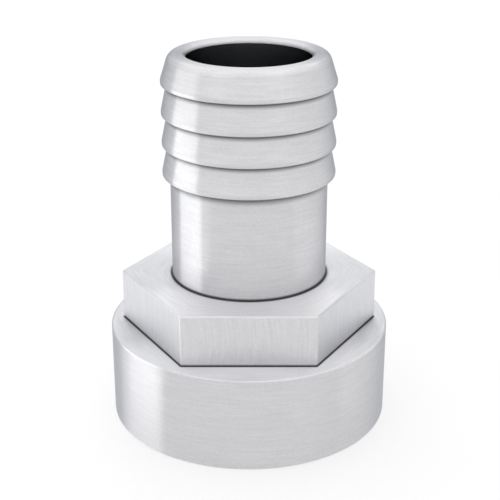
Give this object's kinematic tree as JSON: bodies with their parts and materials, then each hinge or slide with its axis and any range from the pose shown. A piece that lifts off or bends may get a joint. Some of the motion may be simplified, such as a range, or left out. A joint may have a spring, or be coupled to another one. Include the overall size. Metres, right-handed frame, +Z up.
{
  "type": "hose barb fitting",
  "caption": "Straight stainless steel hose barb fitting: a ribbed hose tail over a spanner hexagon and a round socket with a female parallel pipe thread.",
  "frame": {"origin": "centre of the socket's face, on the flow axis, where the fitting stands", "axes": "+Z up the flow axis towards the hose tail, +X through a corner of the hexagon, +Y square to a flat"},
  "size_m": [0.0454, 0.0454, 0.06],
  "materials": {
    "stainless_steel": "satin, fine turned, with milled flats"
  },
  "bodies": {
    "root": {"hose_barb_fitting": "stainless_steel"}
  },
  "joints": []
}
